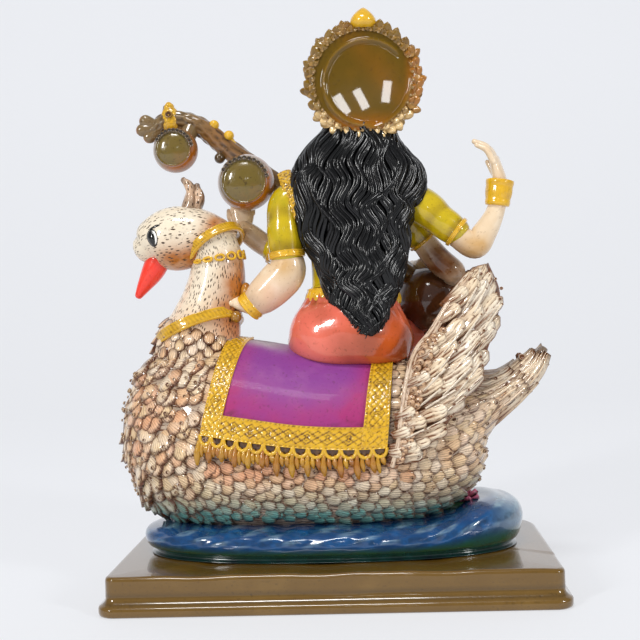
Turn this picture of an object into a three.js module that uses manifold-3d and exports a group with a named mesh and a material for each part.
// A cast and painted resin figure: a four-armed goddess with a long-necked lute sits sideways on a swan,
// which swims on a small pond. The figure is one casting and stands on a moulded plinth of its own.
// Millimetres, +Z up. The swan looks along +X and the goddess along -Y.
// The origin is under the plinth's middle.
import * as THREE from "three";
import { mergeVertices } from "three/addons/utils/BufferGeometryUtils.js";
import Module from "manifold-3d";

// Plinth
const plinthLength = 146;
const plinthDepth = 84;
const plinthHeight = 12.5;
const plinthBackRadius = 3.5;
const plinthFrontRadius = 17;
const plinthFootFlare = 2.4;
const plinthFootHeight = 3.6;
const plinthEdge = 0.8;
const seatGap = 0.3;

// Figure: every knot below is read off a drawing of this height and scaled to the height wanted
const figureHeight = 186;
const drawingHeight = 186;
const figureScale = figureHeight / drawingHeight;
const leanToTail = THREE.MathUtils.degToRad(2);

const UP = [0, 0, 1];
const BACK = [0, 1, 0];
const near = 1;
const far = -1;

const wasm = await Module();
wasm.setup();

const vector = (p) => new THREE.Vector3(p[0], p[1], p[2]);
const mix = (a, b, share) => a + (b - a) * share;
const range = (count) => Array.from({ length: count }, (_, i) => i);
const bump = (value, middle, width) => Math.exp(-(((value - middle) / width) ** 2));

// Six times the volume that a closed set of faces holds, negative when the faces point inwards.
function heldVolume(points, faces) {
  let total = 0;
  for (let i = 0; i < faces.length; i += 3) {
    const [a, b, c] = [points[faces[i]], points[faces[i + 1]], points[faces[i + 2]]];
    total += a.dot(b.clone().cross(c));
  }
  return total;
}

// Closed skin over rings of points, with one more point at each end. Its faces always point outwards.
function skin(rings, first, last) {
  const sides = rings[0].length;
  const points = [...rings.flat(), first, last];
  const start = points.length - 2;
  const end = points.length - 1;
  const faces = [];
  rings.forEach((ring, i) => {
    for (let j = 0; j < sides; j++) {
      const next = (j + 1) % sides;
      const here = i * sides;
      const there = here + sides;
      if (i === 0) faces.push(start, here + next, here + j);
      if (i === rings.length - 1) faces.push(end, here + j, here + next);
      else faces.push(here + j, here + next, there + next, here + j, there + next, there + j);
    }
  });
  if (heldVolume(points, faces) < 0) faces.reverse();
  const geometry = new THREE.BufferGeometry();
  geometry.setAttribute("position", new THREE.Float32BufferAttribute(points.flatMap((p) => p.toArray()), 3));
  geometry.setIndex(faces);
  return geometry;
}

const smooth = (points) => new THREE.CatmullRomCurve3(points, false, "catmullrom", 0.5);

// A smooth line through knots [x, y, z, wide, high], with the half sizes of an ellipse carried along it.
function spine(knots, up = UP) {
  const line = smooth(knots.map(vector));
  const size = smooth(knots.map((k) => vector([k[3], k[4], 0])));
  const towards = vector(up);
  return (share) => {
    const along = line.getTangent(share);
    const side = towards.clone().cross(along).normalize();
    const rise = along.clone().cross(side);
    const half = size.getPoint(share);
    return { centre: line.getPoint(share), along, side, rise, wide: half.x, high: half.y };
  };
}

// The form that an ellipse leaves along a spine, with a ring of points at each knot. cap is how far its
// pointed ends stand out, as a share of the half size. relief(turn) swells or sinks the section as a share of
// its size, and twist(share) turns it.
function sweep(knots, { sides = 8, up = UP, cap = 0.7, relief = () => 0, twist = () => 0 } = {}) {
  const at = spine(knots, up);
  const rings = knots.map((_, i) => {
    const share = i / (knots.length - 1);
    const station = at(share);
    return range(sides).map((j) => {
      const turn = j / sides;
      const angle = (turn + twist(share)) * 2 * Math.PI;
      const grow = 1 + relief(turn);
      return station.centre
        .clone()
        .addScaledVector(station.side, Math.cos(angle) * station.wide * grow)
        .addScaledVector(station.rise, Math.sin(angle) * station.high * grow);
    });
  });
  const ends = [0, 1].map((share) => {
    const station = at(share);
    const reach = Math.min(station.wide, station.high) * cap * (share ? 1 : -1);
    return station.centre.clone().addScaledVector(station.along, reach);
  });
  return skin(rings, ends[0], ends[1]);
}

const ball = (centre, radius, across, around) =>
  new THREE.SphereGeometry(radius, across, around).translate(...centre);

// A band round a form: an ellipse about centre in the plane that axis stands on, with thick and width in half
// sizes.
function band({ centre, axis, longHalf, crossHalf, thick, width }) {
  const sides = 12;
  const section = 4;
  const normal = vector(axis).normalize();
  const long = vector(BACK).cross(normal).normalize();
  const across = normal.clone().cross(long);
  const positions = [];
  const faces = [];
  for (let i = 0; i < sides; i++) {
    const angle = (i / sides) * 2 * Math.PI;
    const outward = long
      .clone()
      .multiplyScalar(Math.cos(angle) * longHalf)
      .addScaledVector(across, Math.sin(angle) * crossHalf);
    const way = outward.clone().normalize();
    for (let j = 0; j < section; j++) {
      const turn = (j / section) * 2 * Math.PI;
      const point = vector(centre)
        .add(outward)
        .addScaledVector(way, Math.cos(turn) * thick)
        .addScaledVector(normal, Math.sin(turn) * width);
      positions.push(...point.toArray());
      const here = i * section;
      const there = ((i + 1) % sides) * section;
      const next = (j + 1) % section;
      faces.push(here + j, there + j, there + next, here + j, there + next, here + next);
    }
  }
  const geometry = new THREE.BufferGeometry();
  geometry.setAttribute("position", new THREE.Float32BufferAttribute(positions, 3));
  geometry.setIndex(faces);
  return geometry;
}

// Swan: knots run from the tail's tip to the breast
const swanBody = [
  [-72, 0, 68.5, 3, 1.6],
  [-68.5, 0, 61.5, 6.5, 4.2],
  [-62.5, 0, 53.5, 11, 7.4],
  [-54.5, 0, 47.2, 16, 11.6],
  [-44, 0, 42, 21.5, 19.2],
  [-31, 0, 39, 26.5, 27],
  [-12, 0, 36.4, 29.5, 30.2],
  [10, 0, 36, 30, 31.2],
  [30, 0, 37.2, 28.8, 33],
  [47, 0, 39, 26.5, 32.2],
  [58.5, 0, 40.2, 22.5, 29.8],
  [66.5, 0, 41, 17.5, 25],
  [71.2, 0, 41.2, 11.5, 17.6],
  [73.9, 0, 41.4, 5.5, 9],
];
const swanNeck = [
  [49, 0, 56, 17, 16],
  [48.2, 0, 69, 15.4, 14],
  [46, 0, 77.5, 12.5, 11.8],
  [43.8, 0, 85, 10.9, 10.3],
  [42.2, 0, 92.5, 10, 9.4],
  [42.2, 0, 100, 9, 8.7],
  [45, 0, 107.5, 8.4, 8],
];
const swanHead = [
  [37.2, 0, 109.2, 2.6, 2.6],
  [41, 0, 109.2, 6.2, 5.6],
  [47, 0, 108.7, 8.6, 9],
  [54, 0, 107.4, 9.6, 11.2],
  [60, 0, 106.5, 9.4, 10.9],
  [64.8, 0, 105.2, 7.8, 8.8],
  [67.7, 0, 103.4, 5, 5.4],
];
const swanBeak = [
  [63, 0, 99.5, 4.4, 4.4],
  [65.3, 0, 95, 4, 3.9],
  [68.2, 0, 90.2, 2.8, 2.5],
  [70.1, 0, 86.9, 1.8, 1.4],
];
const crestFront = [
  [53, 0, 116.5, 2.2, 3],
  [51.9, 0, 122.5, 1.7, 2.2],
  [52.8, 0, 126, 1.3, 1.7],
  [54.6, 0, 128, 0.8, 0.9],
];
const crestBack = [
  [50, 0, 116, 2.2, 2.6],
  [48.6, 0, 121.5, 1.8, 2.2],
  [49.4, 0, 126, 0.9, 1],
];

// A point on the swan's body: share runs from tail to breast, tilt is the angle from the top towards +Y.
const bodyAt = spine(swanBody);
function onBody(share, tilt, lift) {
  const station = bodyAt(share);
  return station.centre
    .clone()
    .addScaledVector(station.rise, Math.cos(tilt) * (station.high + lift))
    .addScaledVector(station.side, Math.sin(tilt) * (station.wide + lift));
}

// A fan of overlapping feathers: a sheet from a leading line to a trailing one, in tiers with rounded tips.
// The tiers' ends are shares of the way across, their levels stand out along the way that out points, and sag
// is how far the sheet sinks midway.
const feather = { steps: 3, tip: 0.1, vane: 0.5, root: 0.08, overlap: 0.02, underlay: 0.4 };

function fan({ lead, trail, out, feathers, tiers, thick, sag = 0 }) {
  const leadLine = smooth(lead);
  const trailLine = smooth(trail);
  const count = feathers * feather.steps;
  const rings = range(count + 1).map((i) => {
    const [from, to] = [leadLine, trailLine].map((line) => line.getPoint(i / count));
    const tooth = Math.sin(((i % feather.steps) / feather.steps) * Math.PI);
    const at = (share, lift) => {
      const sink = sag * Math.sin(share * Math.PI);
      return from.clone().lerp(to, share).addScaledVector(out, lift + tooth * feather.vane - sink);
    };
    const tips = tiers.map(({ end }) => end + (tooth - 1) * feather.tip);
    const over = tiers.flatMap(({ level }, k) => {
      const root = k ? at(tips[k - 1] + feather.overlap, level - feather.underlay) : at(feather.root, level);
      return [root, at(tips[k], level)];
    });
    const last = tiers.length - 1;
    const middle = sag > 0 ? [at(0.5, -thick)] : [];
    const under = [at(tips[last], tiers[last].level - thick), ...middle, at(0, -thick)];
    return [...over, ...under];
  });
  const ends = [0, 1].map((share) => leadLine.getPoint(share).lerp(trailLine.getPoint(share), 0.5));
  return skin(rings, ends[0], ends[1]);
}

// Wing's leading line and trailing line, [x, z] from the flank up to the tip
const wingLead = [
  [-15, 32],
  [-17, 40],
  [-18, 49],
  [-20.5, 59],
  [-24.5, 68.3],
  [-29.5, 72.6],
  [-36.5, 84],
  [-44.5, 92.8],
];
const wingTrail = [
  [-19, 33],
  [-29, 41.5],
  [-40, 52],
  [-49, 62.5],
  [-53, 71],
  [-56.2, 80],
  [-57, 89],
  [-52.5, 98.6],
];
const wingFeathers = 7;
const wingThickness = 2.2;
const wingTiers = [
  { end: 0.42, level: 2 },
  { end: 0.72, level: 1.2 },
  { end: 1, level: 0.4 },
];

// How far the wing's sheet stands from the swan's middle plane: it closes in upwards and towards the tail.
function wingReach(x, z) {
  const foot = { reach: 30, x: -30, z: 30 };
  const upward = 0.0036 * (z - foot.z) ** 2;
  const tailward = 0.015 * Math.max(0, foot.x - x) ** 2;
  return foot.reach - upward - tailward;
}

function wing(side) {
  const onSheet = ([x, z]) => vector([x, side * wingReach(x, z), z]);
  return fan({
    lead: wingLead.map(onSheet),
    trail: wingTrail.map(onSheet),
    out: vector([0, side, 0]),
    feathers: wingFeathers,
    tiers: wingTiers,
    thick: wingThickness,
  });
}

// Tail: a fan that hangs down on both sides, from roots on the back to tips in the air
const tailFeathers = 5;
const tailThickness = 3;
const tailSag = 4.5;
const tailRoots = { x: -47, z: 60, spread: 17, fall: 6 };
const tailTips = { x: -72, z: 69.5, spread: 9, fall: 11, draw: 7 };
const tailTiers = [
  { end: 0.55, level: 1.6 },
  { end: 1, level: 0.4 },
];

function tail() {
  const places = [-1, -0.6, -0.2, 0.2, 0.6, 1];
  const line = ({ x, z, spread, fall, draw = 0 }) =>
    places.map((p) => vector([x + draw * p * p, spread * p, z - fall * p * p]));
  return fan({
    lead: line(tailRoots),
    trail: line(tailTips),
    out: vector([0.3, 0, 0.95]),
    feathers: tailFeathers,
    tiers: tailTiers,
    thick: tailThickness,
    sag: tailSag,
  });
}

// Gold collars under the swan's head and round the foot of its neck
const upperCollar = {
  centre: [42.8, 0, 104.4],
  axis: [0.55, -0.35, 0.76],
  longHalf: 10.3,
  crossHalf: 9.8,
  thick: 1.1,
  width: 1.7,
};
const lowerCollar = {
  centre: [48.4, 0, 75],
  axis: [0.35, -0.25, 0.9],
  longHalf: 14.9,
  crossHalf: 13.6,
  thick: 1.2,
  width: 2.1,
};

function swan() {
  const body = sweep(swanBody, { sides: 16, cap: 0.25 });
  const neck = sweep(swanNeck, { sides: 10, up: BACK });
  const swanFace = sweep(swanHead, { sides: 10 });
  const beak = sweep(swanBeak, { sides: 6 });
  const crest = [crestFront, crestBack].map((knots) => sweep(knots, { sides: 5, up: BACK }));
  const collars = [upperCollar, lowerCollar].map(band);
  return [body, neck, swanFace, beak, ...crest, ...collars, wing(near), wing(far), tail()];
}

// Saddle cloth: the swan's share under its rear and front edges, at the ridge and at the hem
const clothFall = 1.69;
const clothRear = [0.416, 0.441];
const clothFront = [0.637, 0.683];
const clothLift = 1.1;
const borderLift = 1.9;
const clothRoot = -3;
const clothBorder = 0.84;
const clothLoops = 10;
const loopBottom = 1.13;
const loopTop = 1.05;

// A point on the cloth: share runs from its rear edge to its front one, fall from -1 to 1 over the back.
function onCloth(share, fall, lift) {
  const down = Math.min(Math.abs(fall), 1);
  const rear = mix(clothRear[0], clothRear[1], down);
  const front = mix(clothFront[0], clothFront[1], down);
  return onBody(mix(rear, front, share), fall * clothFall, lift);
}

// The cloth is one skin: over the back from fringe to fringe, and back again inside the swan. Its border
// stands proud, and its hems end in a row of hanging loops.
function saddleCloth() {
  const count = 2 * clothLoops;
  const borderRings = 3;
  const falls = [0.12, 0.36, 0.6, clothBorder - 0.01, clothBorder + 0.02, 1];
  const inside = [0.9, 0, -0.9];
  const rings = range(count + 1).map((i) => {
    const share = i / count;
    const hang = i % 2 ? loopBottom : loopTop;
    const inField = i >= borderRings && i <= count - borderRings;
    const lift = (fall) => (inField && fall < clothBorder ? clothLift : borderLift);
    const side = (sign) => falls.map((fall) => onCloth(share, sign * fall, lift(fall)));
    return [
      onCloth(share, -hang, clothLift),
      ...side(-1).reverse(),
      ...side(1),
      onCloth(share, hang, clothLift),
      ...inside.map((fall) => onCloth(share, fall, clothRoot)),
    ];
  });
  return skin(rings, onCloth(0, 0, clothRoot / 2), onCloth(1, 0, clothRoot / 2));
}

// Goddess: body knots run from the seat up
const hips = [
  [-4.6, 5, 60, 20, 14.5],
  [-4.6, 5.5, 67, 21.8, 16.5],
  [-5.2, 5, 75, 21.2, 15.8],
  [-5.6, 3.5, 82, 17.6, 12.6],
  [-5.8, 2.5, 88, 14.6, 10],
];
const torso = [
  [-5.8, 2.7, 84.3, 15, 10],
  [-5.8, 2.6, 84.6, 16, 11],
  [-5.8, 2.4, 88.8, 15.6, 10.6],
  [-5.8, 2.3, 89.2, 14.6, 9.6],
  [-5.8, 1.6, 95, 14.4, 9],
  [-6, -0.5, 104, 15.4, 9.8],
  [-6.3, -1.8, 112, 17.4, 11.2],
  [-6.5, -1.2, 117, 18.6, 10],
  [-6.8, -1, 122, 19, 8.6],
  [-7.2, -1.5, 128, 10, 6],
];
const headAndThroat = [
  [-7.4, -2, 125, 6, 5.6],
  [-7.6, -3.4, 132, 4.8, 5],
  [-8, -6.5, 138.5, 6, 6.8],
  [-8.2, -5.6, 145, 7.8, 9],
  [-8.4, -5, 151.5, 8.3, 9.8],
  [-8.6, -4.4, 158, 7, 8.4],
];
const nose = [
  [-8.3, -14.2, 151, 0.8, 0.7],
  [-8.3, -15.2, 147.6, 1, 1],
  [-8.3, -15.4, 145.4, 1.5, 1.3],
];
const crown = [
  [-8.4, -3.5, 154.5, 9.2, 10.2],
  [-8.5, -3, 158.5, 9.6, 10.4],
  [-8.6, -2, 162, 8, 8.6],
  [-8.7, -0.5, 168, 6.4, 6.4],
  [-8.8, 1.5, 174.5, 4.6, 4.6],
  [-9, 4, 181, 1.8, 1.8],
];
const hair = [
  [-8, -1, 150, 9, 9],
  [-7.4, 2, 141, 14, 10.5],
  [-7.1, 4.5, 134, 19.2, 10.6],
  [-7.2, 6, 126.5, 22.4, 10.2],
  [-6.4, 7, 118.5, 21, 9.6],
  [-6.8, 8, 111, 18.8, 9],
  [-7.9, 9, 102.6, 16.2, 8.4],
  [-8.8, 10.4, 95, 14, 7.8],
  [-8.8, 12, 88.5, 11.6, 7],
  [-9.4, 14.6, 82, 8.8, 6.2],
  [-10, 17.4, 76.6, 5.8, 4.8],
  [-9.6, 18.8, 73, 2.8, 2.6],
];

// Wavy locks: ridges and furrows by turns round the hair, which swing from side to side on their way down.
const lockCount = 7;
const lockDepth = 0.06;
const lockWaves = 4;
const lockSway = 0.02;
const locks = (turn) => lockDepth * Math.cos(turn * lockCount * 2 * Math.PI);
const lockSwing = (share) => lockSway * Math.sin(share * lockWaves * 2 * Math.PI);

// Legs: the left one hangs down the swan's far side, the right one is folded across the lap
const leftThigh = [
  [2, 0, 69, 11, 9],
  [7, -10, 69.5, 10, 8.5],
  [11, -22, 68.5, 8.4, 8],
];
const leftShin = [
  [11.5, -25, 71, 7.5, 7],
  [12, -30.5, 59, 7.4, 6],
  [12, -33.5, 46, 7.6, 5],
  [12, -34.5, 36, 8.4, 4.6],
];
const leftFoot = [
  [12, -33.5, 36, 2.8, 2.8],
  [12, -35.5, 28, 2.9, 2.4],
  [12, -40.5, 25, 2.7, 1.3],
];
const rightThigh = [
  [-12, 2, 69, 11, 9],
  [-19, -9, 70.5, 10, 8.5],
  [-25, -17, 71.5, 8.4, 8],
];
const rightShin = [
  [-25.5, -17.5, 71.5, 7.6, 7.6],
  [-14, -23.5, 74, 6.6, 6.2],
  [-2, -26, 76, 5.6, 5.2],
];
const rightFoot = [
  [-3, -26, 76, 3, 3],
  [4, -27.5, 76.5, 2.9, 2.4],
  [9, -29, 77, 2.2, 1.5],
];

// Arms: upper arm to the cuff, then the bare forearm to the wrist
const arms = {
  leftBack: {
    sleeve: [
      [10, 0, 122.5, 6, 6.4],
      [17.6, 3, 119.5, 5.6, 6.2],
      [18.2, 5, 111, 6, 6.2],
      [17, 6, 99.6, 5.8, 5.8],
    ],
    bare: [
      [16.9, 6, 102, 5, 5],
      [17.2, 6, 95.6, 6.8, 6.2],
      [21, 5.5, 91, 7, 6.2],
      [25.8, 5, 86.5, 6.2, 5.8],
      [29.6, 4.5, 83.6, 4.6, 4.4],
    ],
  },
  leftFront: {
    sleeve: [
      [9, -4, 119, 6, 6],
      [14, -7, 110, 5.6, 5.6],
      [18, -8.5, 102.5, 5, 5],
      [24.5, -8.5, 104, 4.8, 4.6],
    ],
    bare: [
      [22, -8.5, 102.6, 3.8, 3.8],
      [27, -8.4, 105.6, 4, 3.8],
      [31, -8, 108.6, 3.9, 3.7],
      [34.6, -7, 111.6, 3.2, 3.2],
    ],
  },
  rightBack: {
    sleeve: [
      [-20, 0, 122, 6.6, 6.6],
      [-29.5, 3, 118, 6.5, 6.3],
      [-36, 4, 112.8, 5.7, 5.8],
      [-42, 4.5, 108.4, 5, 5],
    ],
    bare: [
      [-40, 4.5, 109, 4.2, 4.2],
      [-47.4, 4.5, 104.2, 4.5, 4.3],
      [-50.8, 4.5, 108.6, 4.3, 4],
      [-54, 4.5, 114.5, 3.4, 3.3],
      [-56, 4, 121, 2.8, 2.8],
    ],
  },
  rightFront: {
    sleeve: [
      [-19, -4, 118, 6.2, 6.2],
      [-26, -6, 111.5, 5.2, 5.2],
      [-30.5, -7, 106, 4.8, 4.8],
    ],
    bare: [
      [-29, -6.5, 108, 4.2, 4.2],
      [-35.5, -7, 100, 4.8, 4.8],
      [-41, -8, 95.2, 4.6, 4.6],
      [-37, -13.5, 95.5, 4.2, 4.2],
      [-30, -18.5, 98, 3, 3],
    ],
  },
};

// Hand sizes, before each hand's own scale
const fingerLengths = [3.2, 3.7, 3.5, 2.8];
const fingerSpacing = 2.2;
const fingerHalf = 1.15;
const fingertipHalf = 0.8;
const knuckles = 6;
const straightBend = 0.48;

// A hand from the wrist: palm, four fingers and a thumb. forward points to the knuckles and palm the way that
// the palm faces. bend is each finger joint's turn towards the palm, thumb is 1 or -1 for the thumb's side,
// and size scales the lengths.
function hand({ wrist, forward, palm, bend, thumb, size = 1 }) {
  const ahead = vector(forward).normalize();
  const across = ahead.clone().cross(vector(palm)).normalize();
  const inward = across.clone().cross(ahead);
  const way = inward.toArray();
  const knot = (out, beside, deep, wide, high) => {
    const place = vector(wrist)
      .addScaledVector(ahead, out * size)
      .addScaledVector(across, beside)
      .addScaledVector(inward, deep * size);
    return [...place.toArray(), wide, high];
  };
  const palmKnots = [
    knot(-1, 0, 0, 2.7, 2.3),
    knot(2.5, 0, 0, 3.7, 2.2),
    knot(knuckles + 0.5, 0, 0, 4.2, 1.7),
  ];
  const first = bend * 0.5;
  const second = bend * 1.5;
  const fingers = fingerLengths.map((length, i) => {
    const beside = (1.5 - i) * fingerSpacing * thumb;
    const middle = [knuckles + Math.cos(first) * length, Math.sin(first) * length];
    const tip = [middle[0] + Math.cos(second) * length, middle[1] + Math.sin(second) * length];
    const knots = [
      knot(knuckles, beside, 0, fingerHalf, fingerHalf),
      knot(middle[0], beside, middle[1], fingerHalf, fingerHalf),
      knot(tip[0], beside, tip[1], fingertipHalf, fingertipHalf),
    ];
    const shown = knots.filter((_, k) => k !== 1 || bend > straightBend);
    return sweep(shown, { sides: 3, up: way, cap: 1 });
  });
  const thumbKnots = [
    knot(1, 2.4 * thumb, 0.6, 1.5, 1.4),
    knot(3.8, 4.3 * thumb, 1.6, 1.3, 1.2),
    knot(6.4, 4.9 * thumb, 2.4, fingertipHalf, fingertipHalf),
  ];
  return [
    sweep(palmKnots, { sides: 5, up: way }),
    ...fingers,
    sweep(thumbKnots, { sides: 3, up: way, cap: 1 }),
  ];
}

const hands = {
  onNeck: { wrist: [30.5, 4.4, 83], forward: [1, -0.1, 0.5], palm: [0, -0.4, -1], bend: 0.45, thumb: -1 },
  underLute: { wrist: [34, -7.2, 111.2], forward: [0, -0.1, 1], palm: [0.2, -1, 0], bend: 0.45, thumb: 1 },
  raised: {
    wrist: [-56.5, 4, 125.5],
    forward: [0.28, 0, 1],
    palm: [0.95, -0.3, -0.2],
    bend: 0.55,
    thumb: -1,
    size: 1.4,
  },
  atStrings: {
    wrist: [-30.5, -18.2, 97.8],
    forward: [0.75, -0.55, -0.2],
    palm: [-0.1, -0.7, -0.7],
    bend: 0.45,
    thumb: 1,
  },
};

const bracelets = [
  [[28.5, 4.6, 84.6, 5.1, 5], [31, 4.2, 82.4, 5, 4.8]],
  [[-55.2, 4.2, 118, 4, 4], [-56.2, 4, 126.6, 4.7, 4.5]],
];

function armsAndHands() {
  const limbs = Object.values(arms).flatMap(({ sleeve, bare }) => [
    sweep(sleeve, { sides: 6, up: BACK, cap: 0.25 }),
    sweep(bare, { sides: 6, up: BACK }),
  ]);
  const rings = bracelets.map((knots) => sweep(knots, { sides: 6, up: BACK, cap: 0.2 }));
  return [...limbs, ...rings, ...Object.values(hands).flatMap(hand)];
}

// The hanging leg's skirt falls in pleats.
const pleatCount = 7;
const pleatDepth = 0.07;
const pleats = (turn) => pleatDepth * Math.cos(turn * pleatCount * 2 * Math.PI);

function legs() {
  const cut = { up: BACK, cap: 0.5 };
  const plain = [leftThigh, rightThigh, rightShin].map((knots) => sweep(knots, { ...cut, sides: 7 }));
  const pleated = sweep(leftShin, { ...cut, sides: 2 * pleatCount, relief: pleats });
  const feet = [leftFoot, rightFoot].map((knots) => sweep(knots, { sides: 6 }));
  return [...plain, pleated, ...feet];
}

// Halo: a ring of leaves round a dished disc, with a point at the top that carries a finial
const haloCentre = [-9.1, 11, 159.6];
const haloRadius = 18.2;
const haloThickness = 3;
const leafCount = 24;
const leafReach = 2.6;
const leafNotch = 0.6;
const peakReach = 3.6;
const peakWidth = 0.2;
const ringInner = 15.8;
const ringOuter = 17.4;
const ringRise = 2.8;
const dishEdge = 15;
const dishRise = 1.5;
const dishMiddleRise = 1;

function haloPlate() {
  const [x, y, z] = haloCentre;
  const outline = new THREE.Shape();
  range(leafCount * 2).forEach((i) => {
    const angle = (i / (leafCount * 2)) * 2 * Math.PI;
    const leaf = i % 2 ? leafReach : leafNotch;
    const reach = haloRadius + leaf + peakReach * bump(angle, Math.PI / 2, peakWidth);
    const point = [Math.cos(angle) * reach, Math.sin(angle) * reach];
    if (i === 0) outline.moveTo(...point);
    else outline.lineTo(...point);
  });
  const plate = new THREE.ExtrudeGeometry(outline, { depth: haloThickness, bevelEnabled: false });
  plate.rotateX(Math.PI / 2).translate(x, y + haloThickness / 2, z);
  const root = 0.2;
  const profile = [
    [0, root],
    [ringOuter, root],
    [ringOuter, ringRise],
    [ringInner, ringRise],
    [dishEdge, dishRise],
    [0, dishMiddleRise],
  ];
  const disc = new THREE.LatheGeometry(profile.map((p) => new THREE.Vector2(...p)), 24).translate(x, y, z);
  const finialKnots = [
    [x, y, z + haloRadius + 1, 4.6, 2.4],
    [x, y, z + haloRadius + 4.4, 3.8, 2.4],
    [x, y, z + haloRadius + 7, 2, 1.6],
  ];
  return [plate, disc, sweep(finialKnots, { sides: 8, up: BACK, cap: 0.9 })];
}

function goddess() {
  const pole = { up: BACK };
  return [
    sweep(hips, { ...pole, sides: 10 }),
    sweep(torso, { ...pole, sides: 10 }),
    sweep(headAndThroat, { ...pole, sides: 10 }),
    sweep(nose, { ...pole, sides: 4 }),
    sweep(crown, { ...pole, sides: 10 }),
    sweep(hair, { ...pole, sides: 2 * lockCount, relief: locks, twist: lockSwing }),
    ...legs(),
    ...armsAndHands(),
    ...haloPlate(),
  ];
}

// Lute: a straight neck from the pot on the lap to a curled head, with two gourds behind it
const luteNeck = [
  [-30, -17, 91, 4.4, 4.2],
  [-3, -16.5, 110.6, 3.6, 3.6],
  [23, -12, 128, 3.6, 3.6],
  [38.2, -10.5, 138.8, 3.6, 3.4],
  [44.6, -10, 144, 3.6, 3.5],
  [50, -9.5, 147.8, 3.5, 3.5],
  [57.5, -9, 150, 3.3, 3.3],
  [63, -9, 149.2, 3.1, 3.2],
  [67, -9, 145.6, 2.4, 2.6],
];
const luteTopknot = [
  [60.5, -9, 149.5, 2.6, 2.4],
  [61.4, -9, 153, 2.2, 2],
  [62.2, -9, 155, 0.9, 0.9],
];
const luteCurl = [64.5, -9, 147.5];
const curlLeaves = [-0.45, 0.2, 0.85];
const lutePot = { centre: [-33, -16.5, 85.5], radius: 12.4 };
const gourds = [
  { centre: [32.2, -2.5, 126.8], radius: 10.3 },
  { centre: [57.6, -4.5, 138.6], radius: 8.3 },
];
// The gourds' profile from the front pole to the sunk face at the back, in shares of the radius
const gourdProfile = [
  [0, -1],
  [0.68, -0.72],
  [1, 0],
  [0.93, 0.42],
  [0.82, 0.7],
  [0.7, 0.64],
  [0, 0.58],
];
const gourdStems = [
  [
    [33, -9.5, 135, 3, 3],
    [32.6, -6, 130, 3, 3],
  ],
  [
    [53, -9, 147, 3.2, 3.2],
    [55, -6, 141, 3, 3],
  ],
];
const pegRadius = 1.9;
const pegs = [
  { foot: [41, -10, 142], top: [44.6, -9, 148.2] },
  { foot: [35.5, -10.5, 138], top: [39.2, -9, 144.4] },
];

function lute() {
  const [x, y, z] = luteCurl;
  const leaves = curlLeaves.map((angle) => {
    const at = (reach) => [x + Math.cos(angle) * reach, y, z + Math.sin(angle) * reach];
    const knots = [
      [...at(1), 2.2, 2.4],
      [...at(4.4), 1.8, 2.2],
      [...at(7), 0.8, 1],
    ];
    return sweep(knots, { sides: 5, up: BACK });
  });
  const topknot = sweep(luteTopknot, { sides: 5, up: BACK });
  const rounds = gourds.map(({ centre, radius }) => {
    const profile = gourdProfile.map(([out, along]) => new THREE.Vector2(out * radius, along * radius));
    return new THREE.LatheGeometry(profile, 11).translate(...centre);
  });
  const stems = pegs.flatMap(({ foot, top }) => {
    const stemKnots = [
      [...foot, 1.1, 1.1],
      [...top, 0.9, 0.9],
    ];
    return [sweep(stemKnots, { sides: 4, up: BACK }), ball(top, pegRadius, 5, 3)];
  });
  return [
    sweep(luteNeck, { sides: 7, up: BACK }),
    ball(lutePot.centre, lutePot.radius, 10, 6),
    topknot,
    ...leaves,
    ...rounds,
    ...gourdStems.map((knots) => sweep(knots, { sides: 5, up: BACK })),
    ...stems,
  ];
}

// Pond: layers [height, share of the half length, share of the half depth], foot first
const pondHalfLength = 66;
const pondHalfDepth = 32.5;
const pondMiddle = 1;
const pondTop = 10;
const pondRoundness = 0.82;
const pondWaves = 9;
const pondWaveHeight = 0.5;
const pondLayers = [
  [0, 0.965, 0.92],
  [1.4, 0.945, 0.89],
  [5.4, 1, 1],
  [8.4, 0.985, 0.975],
  [pondTop, 0.87, 0.83],
];

// The bank that rises towards the tail end, where the water lily grows.
const bankHeight = 6.5;
const bank = (x) => bankHeight * THREE.MathUtils.smoothstep(-x, 30, 56);

function pond() {
  const sides = 28;
  const rounded = (value) => Math.sign(value) * Math.abs(value) ** pondRoundness;
  const rings = pondLayers.map(([height, long, deep]) =>
    range(sides).map((j) => {
      const angle = (j / sides) * 2 * Math.PI;
      const x = pondMiddle + rounded(Math.cos(angle)) * pondHalfLength * long;
      const y = rounded(Math.sin(angle)) * pondHalfDepth * deep;
      const swell = bank(x) * (height / pondTop) + pondWaveHeight * Math.sin(angle * pondWaves);
      return vector([x, y, height + (height > pondTop / 4 ? swell : 0)]);
    }),
  );
  return skin(rings, vector([pondMiddle, 0, 0]), vector([pondMiddle, 0, pondTop]));
}

// Water lily with its leaf, and a stone beside it
const lilyCentre = [-48.5, -7, 15];
const lilyPetals = 7;
const lilyLeaf = [
  [-56, -8, 14.4, 3, 1.2],
  [-49, -7.5, 14.6, 10, 1.8],
  [-41, -6, 13.4, 3, 1.2],
];
const bankStone = [
  [-57, -9, 13.5, 4.5, 3.5],
  [-60, -7, 15, 3.4, 2.4],
];

function waterLily() {
  const [x, y, z] = lilyCentre;
  const petals = range(lilyPetals).map((i) => {
    const angle = (i / lilyPetals) * 2 * Math.PI;
    const out = (reach, lift, wide, thick) => [
      x + Math.cos(angle) * reach,
      y + Math.sin(angle) * reach,
      z + lift,
      wide,
      thick,
    ];
    return sweep([out(0.6, -0.6, 1.5, 0.9), out(4.4, 2, 1.1, 0.6)], { sides: 4, cap: 1.4 });
  });
  return [sweep(lilyLeaf, { sides: 6 }), ...petals, sweep(bankStone, { sides: 6 })];
}

// A closed geometry as a solid that can be joined to others.
const weld = 1e-4;

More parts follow.
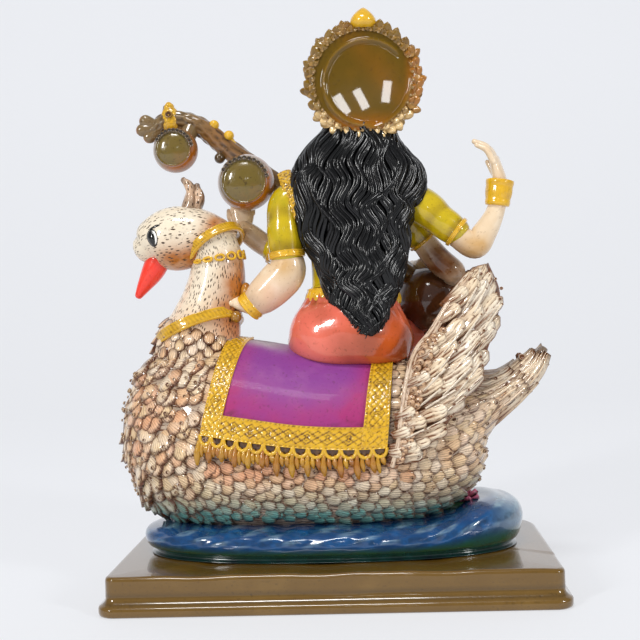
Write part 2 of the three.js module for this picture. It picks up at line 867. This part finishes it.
function solidOf(geometry) {
  const plain = geometry.clone();
  plain.deleteAttribute("normal");
  plain.deleteAttribute("uv");
  const merged = mergeVertices(plain, weld);
  const mesh = new wasm.Mesh({
    numProp: 3,
    vertProperties: new Float32Array(merged.attributes.position.array),
    triVerts: new Uint32Array(merged.index.array),
  });
  return new wasm.Manifold(mesh);
}

// One casting from overlapping closed forms, as a geometry again.
function cast(forms) {
  const joined = wasm.Manifold.union(forms.map(solidOf));
  const mesh = joined.getMesh();
  const geometry = new THREE.BufferGeometry();
  geometry.setAttribute("position", new THREE.BufferAttribute(mesh.vertProperties, 3));
  geometry.setIndex(new THREE.BufferAttribute(mesh.triVerts, 1));
  return geometry;
}

// The plinth's outline, grown by a margin: small corners at the back, large ones at the front.
function plinthOutline(margin, height) {
  const cornerSteps = 3;
  const corners = [
    [1, -1, plinthFrontRadius, -Math.PI / 2],
    [1, 1, plinthBackRadius, 0],
    [-1, 1, plinthBackRadius, Math.PI / 2],
    [-1, -1, plinthFrontRadius, Math.PI],
  ];
  return corners.flatMap(([sx, sy, radius, from]) =>
    range(cornerSteps + 1).map((k) => {
      const angle = from + (k / cornerSteps) * (Math.PI / 2);
      const x = sx * (plinthLength / 2 - radius) + Math.cos(angle) * (radius + margin);
      const y = sy * (plinthDepth / 2 - radius) + Math.sin(angle) * (radius + margin);
      return vector([x, y, height]);
    }),
  );
}

function plinth() {
  const shoulder = plinthFootFlare * 0.6;
  const layers = [
    [plinthFootFlare - plinthEdge, 0],
    [plinthFootFlare, plinthEdge],
    [plinthFootFlare, plinthFootHeight - plinthEdge],
    [shoulder, plinthFootHeight],
    [0, plinthFootHeight + shoulder],
    [0, plinthHeight - plinthEdge],
    [-plinthEdge, plinthHeight],
  ];
  const rings = layers.map(([margin, height]) => plinthOutline(margin, height));
  return skin(rings, vector([0, 0, 0]), vector([0, 0, plinthHeight]));
}

// The swan and its rider lean a little towards the tail, the pond stands level.
const leaning = (form) => form.rotateY(-leanToTail);

function named(name, geometry, color) {
  const lacquer = new THREE.MeshStandardMaterial({ color, roughness: 0.22, metalness: 0 });
  const mesh = new THREE.Mesh(geometry, lacquer);
  mesh.name = name;
  return mesh;
}

const model = new THREE.Group();
model.add(named("plinth", plinth(), 0x6b5527));

const level = [pond(), ...waterLily()];
const tilted = [...swan(), saddleCloth(), ...goddess(), ...lute()].map(leaning);
const figure = named("figure", cast([...level, ...tilted]), 0xe8d9bf);
figure.scale.setScalar(figureScale);
figure.position.z = plinthHeight + seatGap;
model.add(figure);

export default model;
